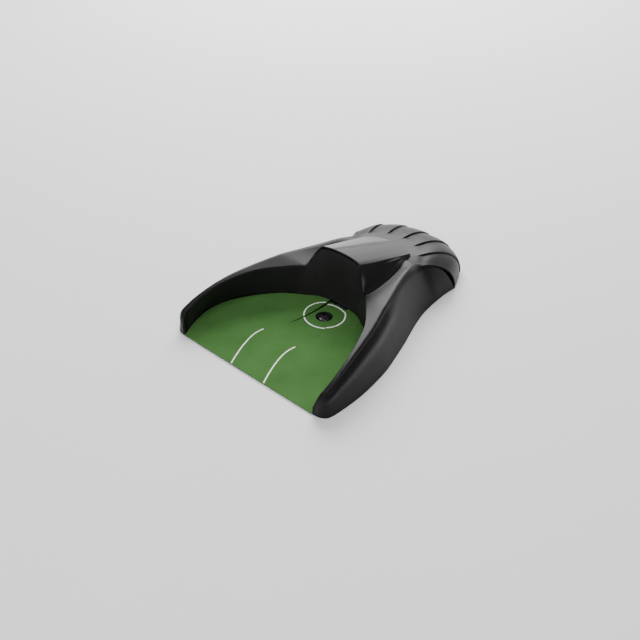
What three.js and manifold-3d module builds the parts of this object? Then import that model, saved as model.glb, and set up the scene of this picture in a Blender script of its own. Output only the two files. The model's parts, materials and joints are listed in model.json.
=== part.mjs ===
// Electric putting returner: a ball is putted up a felt ramp between two wings, drops
// onto a hole in a hinged flap, presses a button, and a solenoid flicks the flap up so
// that the ball rolls back.
// Millimetres, +Z up, the player stands on the -Y side. The origin is the centre of the
// footprint, on the floor.

import * as THREE from 'three';
import { mergeVertices } from 'three/addons/utils/BufferGeometryUtils.js';
import Module from 'manifold-3d';

const wasm = await Module();
wasm.setup();

// ---- Overall sizes ----
const LENGTH = 307;
const WIDTH = 210.6;
const HEIGHT = 73;

// The shell's styling points below are written for this length, width and height.
const STYLE_LENGTH = 307;
const STYLE_WIDTH = 210.6;
const STYLE_HEIGHT = 73;

// ---- Mouldings ----
const GAP = 0.3; // between pieces that touch
const WALL = 2.2; // housing
const HOOD_WALL = 2;
const SKIRT_Z = 0.6; // lower edge of the housing above the floor
const PLATE_Z = 1; // underside of the floor plates
const PLATE_THICKNESS = 1.4;
const LINER_THICKNESS = 1.4;
const LINER_DROP = 1.2; // how far the liner's top edge lies below the shell's edge
const LIP_LENGTH = 6; // front lip of the ramp, resting on the floor
const RIB_STEP = 1.5; // height of the steps across the tail

// ---- Ramp and felt ----
const MOUTH_DEPTH = 131.7; // from the front edge to the back wall, at the felt
const RAMP_FRONT_Z = 0.8;
const RAMP_BACK_Z = 7.1;
const FELT_THICKNESS = 0.9;

// ---- Flap ----
const FLAP_LENGTH = 46.4;
const FLAP_FRONT_HALF = 18.4;
const FLAP_BACK_HALF = 12;
const FLAP_PLATE = 1.3;
const FLAP_SLIT = 0.8;
const HOLE_RADIUS = 9;
const HOLE_FROM_WALL = 16.5;
const HINGE_WIRE_RADIUS = 0.6;
const HINGE_BARREL_RADIUS = 1.4;
const RUNNING_GAP = 0.25;

// ---- Button under the hole ----
const BUTTON_RADIUS = 5.8;
const BUTTON_HEIGHT = 1.6;
const SWITCH_SIDE = 6;
const SWITCH_HEIGHT = 1.2;

// ---- Kicker arm ----
const ARM_PIVOT_BEHIND = 14.3; // pivot behind the felt's back edge
const ARM_PIVOT_Z = 5.6;
const ARM_REACH = 34; // pivot to the tips of the fork
const ARM_FORK_OUTER = 10.8;
const ARM_FORK_INNER = 7.4;
const ARM_STRIP = 1;
const ARM_UNDER_FLAP = 0.4; // between the fork and the flap at rest
const ARM_LEVER = 23; // pivot to the plunger's pin
const ARM_LEVER_WIDTH = 7;
const ARM_LEVER_THICKNESS = 3;
const PIVOT_PIN_RADIUS = 1;
const LINK_PIN_RADIUS = 1;
const LINK_SLOT_HALF = 1.5;

// ---- Solenoid ----
const PLUNGER_RADIUS = 5;
const PLUNGER_LENGTH = 42;
const CLEVIS_LENGTH = 15;
const CLEVIS_EAR = 2;
const SPRING_LENGTH = 17;
const SPRING_CLEARANCE = 1.15; // between the plunger and the spring
const SPRING_WIRE = 0.45;
const SPRING_TURNS = 6;
const COIL_RADIUS = 12;
const COIL_LENGTH = 28;
const FRAME_THICKNESS = 1.6;
const FRAME_HALF = 13;

// ---- Batteries: four of size AA ----
const CELL_RADIUS = 7.1;
const CELL_LENGTH = 49.5;
const CELL_SPACING = 0.8; // between neighbouring cells
const CELL_COUNT = 4;
const TRAY_WALL = 1.2;
const CONTACT_SPACE = 4;
const CONTACT_SHEET = 0.5;

// ---- Small parts ----
const SCREW_RADIUS = 1.4;
const SCREW_HEAD_RADIUS = 2.8;
const SCREW_LENGTH = 12;
const BOSS_RADIUS = 3.6;
const FOOT_RADIUS = 6;
const FOOT_HEIGHT = 2;
const SWITCH_KNOB = { width: 5, length: 4, travel: 4 };
const BOARD = { width: 22, length: 46, thickness: 1.6, z: 6 };

// ---- Places that follow from the sizes ----
const FRONT_Y = -LENGTH / 2;
const BACK_WALL_Y = styleY(MOUTH_DEPTH);
const HINGE_Y = BACK_WALL_Y - GAP - LINER_THICKNESS - FLAP_LENGTH;
const HOLE_Y = BACK_WALL_Y - HOLE_FROM_WALL;
const ARM_Y = BACK_WALL_Y + ARM_PIVOT_BEHIND;
const FLAP_TOP_Z = feltZ(HINGE_Y);
const FLAP_FELT_Z = FLAP_TOP_Z - FELT_THICKNESS;
const FLAP_PLATE_Z = FLAP_FELT_Z - GAP - FLAP_PLATE;
const HINGE_Z = FLAP_PLATE_Z - 0.1;
const ARM_TIP_Z = FLAP_PLATE_Z - ARM_UNDER_FLAP - ARM_STRIP;
const FLOOR_TOP = PLATE_Z + PLATE_THICKNESS;
const WELL_FLOOR_TOP = 1.6;
const PIN_Z = ARM_PIVOT_Z + ARM_LEVER;
const SOLENOID_Y = ARM_Y + CLEVIS_LENGTH - 4 + GAP + 1.5 + SPRING_LENGTH;
const SPRING_RADIUS = PLUNGER_RADIUS + SPRING_CLEARANCE + SPRING_WIRE;
const CELL_PITCH = 2 * CELL_RADIUS + CELL_SPACING;
const TRAY_LENGTH = CELL_LENGTH + 2 * CONTACT_SPACE;
const TRAY_HALF = (CELL_COUNT * CELL_PITCH) / 2;
const TRAY_CENTRE_Y = styleY(260);
const CELL_Z = FLOOR_TOP + GAP + CELL_RADIUS + 0.5;
const SCREW_SPOTS = [[81, 113], [56, 172], [46, 270]];
const FOOT_SPOTS = [[78, 60], [52, 232]];

const MATERIALS = {
  shell: { color: 0x1b1b1c, roughness: 0.55, metalness: 0 },
  hood: { color: 0x0c0c0d, roughness: 0.12, metalness: 0 },
  liner: { color: 0x141415, roughness: 0.5, metalness: 0 },
  felt: { color: 0x2f6b2a, roughness: 0.95, metalness: 0 },
  nylon: { color: 0xd9d6c8, roughness: 0.5, metalness: 0 },
  steel: { color: 0xa9abad, roughness: 0.35, metalness: 1 },
  copper: { color: 0x8a3f1c, roughness: 0.45, metalness: 0.4 },
  board: { color: 0x1f5a33, roughness: 0.5, metalness: 0 },
  rubber: { color: 0x161616, roughness: 0.9, metalness: 0 },
  button: { color: 0x2c272c, roughness: 0.3, metalness: 0 },
  cell: { color: 0x3c3f45, roughness: 0.3, metalness: 0.3 },
};

function styleX(x) {
  return (x * WIDTH) / STYLE_WIDTH;
}

function styleY(y) {
  return (y * LENGTH) / STYLE_LENGTH - LENGTH / 2;
}

function styleZ(z) {
  return (z * HEIGHT) / STYLE_HEIGHT;
}

function stylePoint(x, y, z) {
  return new THREE.Vector3(styleX(x), styleY(y), styleZ(z));
}

function rampZ(y) {
  return RAMP_FRONT_Z + ((RAMP_BACK_Z - RAMP_FRONT_Z) * (y - FRONT_Y)) / (BACK_WALL_Y - FRONT_Y);
}

function feltZ(y) {
  return rampZ(y) + GAP + FELT_THICKNESS;
}

// ---- Solids ----

function geometryOf(solid) {
  const mesh = solid.getMesh();
  const geometry = new THREE.BufferGeometry();
  geometry.setAttribute('position', new THREE.BufferAttribute(mesh.vertProperties, 3));
  geometry.setIndex(new THREE.BufferAttribute(mesh.triVerts, 1));
  return geometry;
}

function solidOf(geometry) {
  geometry.deleteAttribute('normal');
  geometry.deleteAttribute('uv');
  const merged = mergeVertices(geometry, 1e-5);
  return new wasm.Manifold(new wasm.Mesh({
    numProp: 3,
    vertProperties: new Float32Array(merged.attributes.position.array),
    triVerts: new Uint32Array(merged.index.array),
  }));
}

function box(x0, x1, y0, y1, z0, z1) {
  const geometry = new THREE.BoxGeometry(x1 - x0, y1 - y0, z1 - z0);
  geometry.translate((x0 + x1) / 2, (y0 + y1) / 2, (z0 + z1) / 2);
  return solidOf(geometry);
}

function rodX(radius, x0, x1, y, z, sides = 12) {
  const geometry = new THREE.CylinderGeometry(radius, radius, x1 - x0, sides);
  geometry.rotateZ(Math.PI / 2);
  geometry.translate((x0 + x1) / 2, y, z);
  return solidOf(geometry);
}

function rodY(radius, x, y0, y1, z, sides = 20) {
  const geometry = new THREE.CylinderGeometry(radius, radius, y1 - y0, sides);
  geometry.translate(x, (y0 + y1) / 2, z);
  return solidOf(geometry);
}

function rodZ(radius, x, y, z0, z1, sides = 12) {
  const geometry = new THREE.CylinderGeometry(radius, radius, z1 - z0, sides);
  geometry.rotateX(Math.PI / 2);
  geometry.translate(x, y, (z0 + z1) / 2);
  return solidOf(geometry);
}

// A flat outline of [x, y] points, raised from z0 to z1.
function slab(outline, z0, z1) {
  const shape = new THREE.Shape(outline.map(([x, y]) => new THREE.Vector2(x, y)));
  const geometry = new THREE.ExtrudeGeometry(shape, { depth: z1 - z0, bevelEnabled: false });
  geometry.translate(0, 0, z0);
  return solidOf(geometry);
}

// A side outline of [y, z] points, spread from x0 to x1.
function sidePlate(outline, x0, x1) {
  const shape = new THREE.Shape(outline.map(([y, z]) => new THREE.Vector2(y, z)));
  const geometry = new THREE.ExtrudeGeometry(shape, { depth: x1 - x0, bevelEnabled: false });
  geometry.rotateX(Math.PI / 2);
  geometry.rotateZ(Math.PI / 2);
  geometry.translate(x0, 0, 0);
  return solidOf(geometry);
}

// Lays a flat solid on the ramp's slope.
function onRamp(solid) {
  const geometry = geometryOf(solid);
  const position = geometry.attributes.position;
  for (let i = 0; i < position.count; i += 1) {
    position.setZ(i, position.getZ(i) + rampZ(position.getY(i)));
  }
  return solidOf(geometry);
}

// A closed solid skinned over rings of points, with an end cap on the first and last.
function skin(rings) {
  const ringSize = rings[0].length;
  const points = rings.flat();
  const index = [];
  for (let r = 0; r < rings.length - 1; r += 1) {
    for (let i = 0; i < ringSize; i += 1) {
      const next = (i + 1) % ringSize;
      const a = r * ringSize + i;
      const b = r * ringSize + next;
      index.push(a, b, b + ringSize, a, b + ringSize, a + ringSize);
    }
  }
  for (const [ring, flip] of [[0, false], [rings.length - 1, true]]) {
    const hub = points.length;
    const centre = new THREE.Vector3();
    rings[ring].forEach((p) => centre.addScaledVector(p, 1 / ringSize));
    points.push(centre);
    for (let i = 0; i < ringSize; i += 1) {
      const a = ring * ringSize + i;
      const b = ring * ringSize + ((i + 1) % ringSize);
      index.push(...(flip ? [hub, a, b] : [hub, b, a]));
    }
  }
  const geometry = new THREE.BufferGeometry().setFromPoints(points);
  geometry.setIndex(index);
  return solidOf(facingOut(geometry));
}

function facingOut(geometry) {
  const p = geometry.attributes.position;
  const index = geometry.index.array;
  const [a, b, c] = [new THREE.Vector3(), new THREE.Vector3(), new THREE.Vector3()];
  let volume = 0;
  for (let i = 0; i < index.length; i += 3) {
    a.fromBufferAttribute(p, index[i]);
    b.fromBufferAttribute(p, index[i + 1]);
    c.fromBufferAttribute(p, index[i + 2]);
    volume += a.dot(b.cross(c));
  }
  if (volume < 0) {
    for (let i = 0; i < index.length; i += 3) {
      [index[i + 1], index[i + 2]] = [index[i + 2], index[i + 1]];
    }
  }
  return geometry;
}

// Points along one smooth curve through hand-set points, a fixed number for each gap.
function smooth(controls, steps) {
  const curve = new THREE.CatmullRomCurve3(controls);
  return curve.getPoints((controls.length - 1) * steps);
}

// From a foot, up to a rounded corner, and on to a crown point.
function roundedPath(foot, corner, crown, radius, steps) {
  const rise = Math.min(radius, foot.distanceTo(corner) * 0.6);
  const run = Math.min(radius, corner.distanceTo(crown) * 0.45);
  const start = corner.clone().lerp(foot, rise / foot.distanceTo(corner));
  const end = corner.clone().lerp(crown, run / corner.distanceTo(crown));
  const bend = new THREE.QuadraticBezierCurve3(start, corner, end).getPoints(steps);
  return [foot, ...bend, crown];
}

// From a foot, over a dome, to a crown point.
function domedPath(foot, crown, steps) {
  const path = [];
  for (let i = 0; i <= steps; i += 1) {
    const angle = (i / steps) * (Math.PI / 2);
    const out = i === steps ? 0 : Math.cos(angle) ** (2 / TAIL_ROUNDNESS);
    const up = Math.sin(angle) ** (2 / TAIL_ROUNDNESS);
    const p = crown.clone().lerp(foot, out);
    path.push(p.setZ(foot.z + (crown.z - foot.z) * up));
  }
  return path;
}

function mirrored(points) {
  return points.map((p) => new THREE.Vector3(-p.x, p.y, p.z));
}

// ---- Shell outlines, right half ----

// Foot of the outer side, from the nose to the tail's corner.
const SIDE_FOOT = [
  [88, 0.6], [94.5, 2.4], [99.8, 6], [103, 11.5], [105, 26], [105.2, 48], [103.2, 71], [99.4, 95],
  [92.6, 120], [84.6, 146], [76, 171], [69.6, 194], [66.6, 216], [65.5, 236], [66.3, 257],
];
// Where the side would meet the top if the shoulder were sharp.
const SHOULDER = [
  [88, 1.6, 9], [94, 3.2, 17.5], [97.3, 6.6, 24.6], [97.8, 12, 27.9], [96.9, 25, 33], [93.8, 48, 39.2],
  [89.2, 71, 43.6], [82.9, 95, 46.2], [74.2, 120, 48.8], [65.2, 146, 49.2], [56.2, 171, 49.6],
  [49.9, 194, 48], [47.5, 214, 42], [55.4, 234, 35.2], [64, 252, 11],
];
// Where the top meets the mouth's edge, and behind that the hood's side.
const TOP_INNER = [
  [84, 1.6, 9], [88, 3.2, 17], [90.5, 6.6, 23], [91.2, 12, 25.9], [91.8, 25, 31.4], [88.2, 48, 38.2],
  [81.5, 71, 41.9], [70.5, 95, 43.8], [51, 120, 44], [38.9, 146, 44], [35.5, 171, 44.1],
  [32.2, 194, 44.3], [30, 214, 43.8], [50, 232, 34], [60, 252, 9],
];
// Foot of the tail, from its corner to the centre line.
const TAIL_FOOT = [[66.3, 257], [52.6, 287], [29, 303.4], [0, 307]];
const TAIL_CROWN = [[43.4, 210, 41], [34.3, 226, 43], [18.7, 239.6, 42.7], [0, 243, 42.8]];
const TAIL_ROOT = [[20, 196, 42.5], [14, 198, 42.5], [7, 200, 42.5], [0, 201, 42.5]];

const SHOULDER_RADIUS = 10;
const TAIL_ROUNDNESS = 2.1; // exponent of the tail's section: 2 is an ellipse, more is fuller
const NOSE_RADIUS = 4;
const RISER_SHARE = 0.03; // slope of the steps between the ribs, as a share of one span
const PATH_STEPS = 4;
const SIDE_STEPS = 2;

const planPoint = ([x, y]) => stylePoint(x, y, 0).setZ(SKIRT_Z);
const shellPoint = ([x, y, z]) => stylePoint(x, y, z);

// The wings and flanks, every face moved in by the inset.
function sideSolid(inset) {
  const steps = inset > 0 ? 1 : SIDE_STEPS;
  const bends = inset > 0 ? 2 : PATH_STEPS;
  const feet = smooth(SIDE_FOOT.map(planPoint), steps);
  const corners = smooth(SHOULDER.map(shellPoint), steps);
  const inners = smooth(TOP_INNER.map(shellPoint), steps);
  const rings = feet.map((foot, i) => {
    const corner = corners[i];
    const inner = inners[i];
    const share = Math.min(1, i / (4 * steps));
    const radius = NOSE_RADIUS + (SHOULDER_RADIUS - NOSE_RADIUS) * share;
    const half = roundedPath(foot, corner, inner, radius, bends);
    half.push(inner.clone().setX(0));
    half.forEach((p, k) => {
      p.x = Math.max(0, p.x - inset * Math.sign(p.x));
      p.z = k === 0 ? p.z : Math.max(SKIRT_Z + 0.5, p.z - inset);
    });
    if (inset > 0) {
      half[0].z = SKIRT_Z - 2;
    }
    const left = mirrored(half).reverse().slice(1);
    return [...half, ...left, new THREE.Vector3(0, foot.y, half[0].z)];
  });
  return skin(inset > 0 ? rings.slice(2, -1) : rings);
}

// A tail line from the right corner to the left one.
function tailLine(controls, asPoint, steps) {
  const right = controls.map(asPoint);
  return smooth([...right, ...mirrored(right).reverse().slice(1)], steps);
}

// The tail: six overlapping ribs that fan out from the hood.
function tailSolid(inset) {
  const steps = inset > 0 ? 2 : 3;
  const bends = inset > 0 ? 4 : PATH_STEPS + 3;
  const lines = [
    tailLine(TAIL_FOOT, planPoint, steps),
    tailLine(TAIL_CROWN, shellPoint, steps),
    tailLine(TAIL_ROOT, shellPoint, steps),
  ];
  const ringAt = (place, lift) => {
    const i = Math.min(Math.floor(place), lines[0].length - 2);
    const [foot, crown, root] = lines.map((line) => line[i].clone().lerp(line[i + 1], place - i));
    const outward = new THREE.Vector3(foot.x, foot.y - styleY(215), 0).normalize();
    const push = lift - inset;
    crown.setZ(crown.z - inset);
    root.setZ(root.z - inset);
    const ring = domedPath(foot, crown, bends);
    ring.slice(0, -1).forEach((p, k) => {
      p.addScaledVector(outward, push * (1 - k / bends));
      p.setZ(k === 0 ? p.z : p.z + ((push + inset) * k) / bends);
    });
    ring[0].z = inset > 0 ? SKIRT_Z - 2 : ring[0].z;
    return [...ring, root, root.clone().setZ(ring[0].z)];
  };
  const rings = [];
  const count = lines[0].length - 1;
  for (let i = 0; i <= count; i += 1) {
    const along = (i % steps) / steps;
    const between = i % steps === 0 && i > 0;
    if (between && inset === 0) {
      rings.push(ringAt(i, -RIB_STEP));
    }
    if (i < count || inset > 0) {
      rings.push(ringAt(i + (between && inset === 0 ? RISER_SHARE : 0), inset > 0 ? 0 : -RIB_STEP * along));
    }
  }
  return skin(rings);
}

// Rulings of the mouth's wall: its line on the felt, and its upper edge.
const MOUTH_LOW = [
  [87.6, -6], [89.6, 4], [94.8, 15.5], [99.6, 32], [101.3, 47], [97.6, 65], [87.6, 84], [76.2, 100.2],
  [61.2, 116.2], [46.2, 125.4], [36.2, 128.8], [26, 131], [12, 132.8], [0, 133.4],
];
const MOUTH_HIGH = [
  [90.4, -6, 12], [91.7, 6, 22.4], [92.2, 18, 29], [90.9, 34, 34.6], [88, 49, 38.4], [83.2, 65, 41.2],
  [76.4, 83.5, 43], [67, 100.5, 43.9], [54, 116.3, 44], [41.1, 130, 43.6], [33, 135.4, 58.5],
  [23.7, 140.2, 70.2], [12, 140.9, 72.2], [0, 141, 72.7],
];
const MOUTH_STEPS = 2;
const HOOD_CORNER = 9; // index of the ruling at the hood's lower front corner

// The two curves that the mouth's wall is ruled between, right half.
function mouthRulings() {
  const low = smooth(MOUTH_LOW.map(([x, y]) => stylePoint(x, y, 0)), MOUTH_STEPS);
  low.forEach((p) => p.setZ(feltZ(p.y)));
  const high = smooth(MOUTH_HIGH.map(shellPoint), MOUTH_STEPS);
  return low.map((p, i) => [p, high[i]]);
}

function atHeight([low, high], z) {
  return low.clone().lerp(high, (z - low.z) / (high.z - low.z));
}

// The mouth's outline at one height, moved in by the inset.
function mouthOutline(z, inset) {
  const half = mouthRulings().map((ruling) => atHeight(ruling, z));
  return insetPath([...half, ...mirrored(half).reverse().slice(1)], inset);
}

// Moves an open path in the plane towards its left side.
function insetPath(path, inset) {
  return path.map((p, i) => {
    const before = path[Math.max(0, i - 1)];
    const after = path[Math.min(path.length - 1, i + 1)];
    const along = new THREE.Vector2(after.x - before.x, after.y - before.y).normalize();
    return new THREE.Vector3(p.x - along.y * inset, p.y + along.x * inset, p.z);
  });
}

function mouthCutter(inset) {
  return skin([mouthOutline(-2, inset), mouthOutline(100, inset)]);
}

// ---- Hood ----

const HOOD_FRONT = MOUTH_HIGH.slice(HOOD_CORNER);
const HOOD_TIP = [28, 223, 44.6];
const HOOD_REAR = [0, 238, 43.4];
const HOOD_RIM = 1.2;
const HOOD_SECTIONS = 8;

// Height of the shell's top under the hood's rim at a point of the hood's side line.
function hoodRing(share, inset) {
  const front = smooth(HOOD_FRONT.map(shellPoint), 2);
  const last = front.length - 1;
  const tip = shellPoint(HOOD_TIP);
  const rear = shellPoint(HOOD_REAR);
  const half = front.map((p, i) => {
    const towardsCentre = i / last;
    const bend = Math.sqrt(1 - (1 - towardsCentre) ** 2);
    const end = new THREE.Vector3(
      tip.x * (1 - towardsCentre),
      tip.y + (rear.y - tip.y) * bend,
      tip.z + (rear.z - tip.z) * towardsCentre + HOOD_RIM * Math.min(1, i / 2),
    );
    return p.clone().lerp(end, share);
  });
  half.forEach((p) => {
    p.x = Math.max(0, p.x - inset);
    p.z -= inset;
  });
  const left = mirrored(half).reverse().slice(1);
  return [...half, ...left];
}

function hoodSolid(inset, reachForward) {
  const rings = [];
  for (let i = 0; i <= HOOD_SECTIONS; i += 1) {
    rings.push(hoodRing((i / HOOD_SECTIONS) * (inset > 0 ? 0.94 : 1), inset));
  }
  const floorZ = styleZ(HOOD_TIP[2]) - 4;
  rings.forEach((ring) => {
    const y = ring[0].y;
    ring.push(new THREE.Vector3(ring[ring.length - 1].x, y, floorZ), new THREE.Vector3(ring[0].x, y, floorZ));
  });
  if (reachForward > 0) {
    rings.unshift(rings[0].map((p) => p.clone().add(new THREE.Vector3(0, -reachForward, 0))));
  }
  return skin(rings);
}

// ---- Whole outline of the footprint ----

function footprint(inset) {
  const side = smooth(SIDE_FOOT.map(planPoint), SIDE_STEPS);
  const tail = smooth(TAIL_FOOT.map(planPoint), 3);
  const half = [...side, ...tail.slice(1)];
  const path = insetPath([...half, ...mirrored(half).reverse().slice(1)], inset);
  return path.map((p) => [p.x, p.y]);
}

// Half width of the flap at a place along Y.
function flapHalf(y) {
  const share = (y - HINGE_Y) / FLAP_LENGTH;
  const flare = Math.max(0, 1 - share) ** 2;
  return FLAP_BACK_HALF + (FLAP_FRONT_HALF - FLAP_BACK_HALF) * flare;
}

// The flap's outline, grown by a margin on its sides.
function flapOutline(y0, y1, margin) {
  const steps = 8;
  const right = [];
  for (let i = 0; i <= steps; i += 1) {
    const y = y0 + ((y1 - y0) * i) / steps;
    right.push([flapHalf(y) + margin, y]);
  }
  return [...right, ...right.map(([x, y]) => [-x, y]).reverse()];
}

// ---- Pieces ----

function spotsOnBothSides(spots) {
  return spots.flatMap(([x, y]) => [[styleX(x), styleY(y)], [-styleX(x), styleY(y)]]);
}

function armSlot() {
  const half = ARM_FORK_OUTER + 0.8;
  return box(-half, half, BACK_WALL_Y - 6, BACK_WALL_Y + 8, -1, feltZ(BACK_WALL_Y) + 0.4);
}

function makeHousing() {
  let shell = sideSolid(0).add(tailSolid(0));
  let hollow = sideSolid(WALL).add(tailSolid(WALL));
  hollow = hollow.subtract(mouthCutter(-WALL));
  for (const [x, y] of spotsOnBothSides(SCREW_SPOTS)) {
    hollow = hollow.subtract(rodZ(BOSS_RADIUS, x, y, FLOOR_TOP + GAP, HEIGHT));
  }
  shell = shell.subtract(openBelow(hollow)).subtract(mouthCutter(0));
  shell = shell.subtract(hoodSolid(-GAP, 10));
  shell = shell.subtract(hoodWindow());
  const plates = slab(footprint(WALL), -1, FLOOR_TOP + GAP);
  const ramp = onRamp(slab(footprint(WALL), -20, GAP)).intersect(sideSolid(WALL));
  shell = shell.subtract(plates).subtract(ramp.intersect(aheadOf(rampEndY() + GAP))).subtract(armSlot());
  for (const [x, y] of spotsOnBothSides(SCREW_SPOTS)) {
    shell = shell.subtract(rodZ(SCREW_RADIUS + GAP, x, y, -1, PLATE_Z + SCREW_LENGTH + 1));
  }
  return largest(shell.subtract(trayBlock(GAP)));
}

// Keeps the parts of a hollow that reach the open underside.
function openBelow(hollow) {
  const open = hollow.decompose().filter((part) => part.boundingBox().min[2] < SKIRT_Z);
  return open.reduce((sum, part) => sum.add(part));
}

// The opening in the shell's top that the hood covers.
function hoodWindow() {
  const inset = 6;
  const front = styleY(141) + WALL;
  const rear = styleY(HOOD_TIP[1]) - inset;
  const half = styleX(HOOD_TIP[0]) - inset / 2;
  return box(-half, half, front, rear, styleZ(30), styleZ(90));
}

function aheadOf(y) {
  return box(-WIDTH, WIDTH, FRONT_Y, y, -1, 40);
}

function rampEndY() {
  return BACK_WALL_Y + 2;
}

function makeRampPlate() {
  const inside = sideSolid(WALL + GAP).add(mouthCutter(GAP));
  const block = onRamp(slab(footprint(WALL + GAP), -20, 0)).intersect(inside);
  const deep = box(-WIDTH, WIDTH, FRONT_Y + LIP_LENGTH, rampEndY(), PLATE_Z, 40);
  const lip = box(-WIDTH, WIDTH, FRONT_Y - 1, FRONT_Y + LIP_LENGTH + 1, 0, 40);
  let plate = block.intersect(deep.add(lip));
  plate = plate.subtract(slab(flapOutline(HINGE_Y - 2.4, rampEndY() + 1, FLAP_SLIT), WELL_FLOOR_TOP, 40));
  for (const [x, y] of spotsOnBothSides(SCREW_SPOTS.slice(0, 1))) {
    plate = plate.subtract(rodZ(SCREW_RADIUS + GAP, x, y, -1, 40));
    plate = plate.subtract(rodZ(SCREW_HEAD_RADIUS + GAP, x, y, -1, PLATE_Z + 1.6 + GAP));
  }
  const pocketTop = -1.6;
  const pockets = [[-70, -26], [-20, 20], [26, 70]].flatMap(([x0, x1]) => [31.6, 15.6].map((ahead) => (
    box(styleX(x0), styleX(x1), HINGE_Y - ahead, HINGE_Y - ahead + 12, -20, pocketTop)
  )));
  pockets.forEach((pocket) => {
    plate = plate.subtract(onRamp(pocket));
  });
  const ring = rodZ(BUTTON_RADIUS + 1.1, 0, HOLE_Y, WELL_FLOOR_TOP - 0.2, WELL_FLOOR_TOP + 1.2);
  plate = plate.add(ring.subtract(rodZ(BUTTON_RADIUS + GAP, 0, HOLE_Y, WELL_FLOOR_TOP - 1, WELL_FLOOR_TOP + 3)));
  const wire = HINGE_WIRE_RADIUS + GAP;
  for (const side of [-1, 1]) {
    const inner = side * (FLAP_FRONT_HALF - 3);
    const [x0, x1] = [inner, inner + side * 2].sort((a, b) => a - b);
    plate = plate.add(box(x0, x1, HINGE_Y - 1.6, HINGE_Y + 1.6, WELL_FLOOR_TOP - 0.2, HINGE_Z + 1.3));
  }
  const barrel = FLAP_FRONT_HALF - 3;
  plate = plate.subtract(rodX(HINGE_BARREL_RADIUS + RUNNING_GAP, -barrel, barrel, HINGE_Y, HINGE_Z, 16));
  return plate.subtract(rodX(wire, -FLAP_FRONT_HALF, FLAP_FRONT_HALF, HINGE_Y, HINGE_Z, 12));
}

function makeBasePlate() {
  let plate = slab(footprint(WALL + GAP), PLATE_Z, FLOOR_TOP);
  plate = plate.intersect(box(-WIDTH, WIDTH, rampEndY() + GAP, LENGTH, -1, 40));
  const armHalf = ARM_FORK_OUTER + 0.8;
  plate = plate.subtract(box(-armHalf, armHalf, BACK_WALL_Y, ARM_Y - 3.5, WELL_FLOOR_TOP, 10));
  const ear = { y0: ARM_Y - 3, y1: ARM_Y + 3, inner: ARM_LEVER_THICKNESS + 3.4, outer: ARM_LEVER_THICKNESS + 5.4 };
  for (const side of [-1, 1]) {
    const [x0, x1] = [side * ear.inner, side * ear.outer].sort((a, b) => a - b);
    plate = plate.add(box(x0, x1, ear.y0, ear.y1, FLOOR_TOP - 0.2, ARM_PIVOT_Z + 3));
  }
  plate = plate.subtract(rodX(PIVOT_PIN_RADIUS + GAP, -WIDTH, WIDTH, ARM_Y, ARM_PIVOT_Z, 16));
  for (const [x, y] of solenoidScrews()) {
    const post = rodZ(3.4, x, y, FLOOR_TOP - 0.2, frameFloorZ() - GAP);
    plate = plate.add(post).subtract(rodZ(SCREW_RADIUS + GAP, x, y, FLOOR_TOP + 1, frameFloorZ() + 1));
  }
  for (const [x, y] of spotsOnBothSides(SCREW_SPOTS.slice(1))) {
    plate = plate.subtract(rodZ(SCREW_RADIUS + GAP, x, y, -1, 40));
    plate = plate.subtract(rodZ(SCREW_HEAD_RADIUS + GAP, x, y, -1, PLATE_Z + 0.7));
  }
  const door = doorBox(GAP + 0.1);
  plate = plate.subtract(box(door.x0, door.x1, door.y0, door.y1, -1, 10));
  const knob = switchPlace();
  const slotHalf = SWITCH_KNOB.length / 2 + GAP;
  plate = plate.subtract(box(
    knob.x - SWITCH_KNOB.width / 2 - GAP,
    knob.x + SWITCH_KNOB.width / 2 + GAP,
    knob.y - slotHalf,
    knob.y + slotHalf + SWITCH_KNOB.travel,
    -1,
    10,
  ));
  return plate;
}

function doorBox(margin) {
  return {
    x0: -TRAY_HALF - margin,
    x1: TRAY_HALF + margin,
    y0: TRAY_CENTRE_Y - TRAY_LENGTH / 2 + 2 - margin,
    y1: TRAY_CENTRE_Y + TRAY_LENGTH / 2 - 2 + margin,
  };
}

function switchPlace() {
  return { x: -styleX(44), y: styleY(206) };
}

function frameFloorZ() {
  return PIN_Z - COIL_RADIUS - 0.6 - FRAME_THICKNESS;
}

function solenoidScrews() {
  const y = SOLENOID_Y + FRAME_THICKNESS + COIL_LENGTH / 2;
  return [[-8, y - 8], [8, y + 8]];
}

function makeHood() {
  const inner = hoodSolid(HOOD_WALL, 10);
  const below = box(-WIDTH, WIDTH, -LENGTH, LENGTH, -10, styleZ(43) - 6);
  let hood = hoodSolid(0, 0).subtract(inner).subtract(below);
  hood = hood.subtract(mouthCutter(0));
  hood = hood.subtract(sideSolid(0).translate([0, 0, GAP])).subtract(tailSolid(0).translate([0, 0, GAP]));
  return largest(hood);
}

// The dark wall round the mouth, from the felt up to just below the shell's edge.
function makeLiner() {
  const rulings = mouthRulings();
  const first = 2 * MOUTH_STEPS;
  const half = rulings.slice(first).map(([low, high], i) => {
    const arch = i + first > HOOD_CORNER * MOUTH_STEPS ? LINER_DROP + HOOD_WALL : LINER_DROP;
    const bottom = atHeight([low, high], feltZ(low.y) + GAP);
    const top = atHeight([low, high], Math.max(bottom.z + 2, high.z - arch));
    return [bottom, top];
  });
  const whole = [...half, ...half.map((pair) => mirrored(pair)).reverse().slice(1)];
  const [bottoms, tops] = [0, 1].map((level) => whole.map((pair) => pair[level]));
  const reach = 4;
  const [outerLow, outerHigh, innerLow, innerHigh] = [
    insetPath(bottoms, -reach), insetPath(tops, -reach), insetPath(bottoms, reach), insetPath(tops, reach),
  ];
  const band = skin(whole.map((_, i) => [outerLow[i], outerHigh[i], innerHigh[i], innerLow[i]]));
  const sheet = mouthCutter(GAP).subtract(mouthCutter(GAP + LINER_THICKNESS));
  return largest(sheet.intersect(band).subtract(armSlot()));
}

function largest(solid) {
  return solid.decompose().sort((a, b) => b.volume() - a.volume())[0];
}

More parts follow.
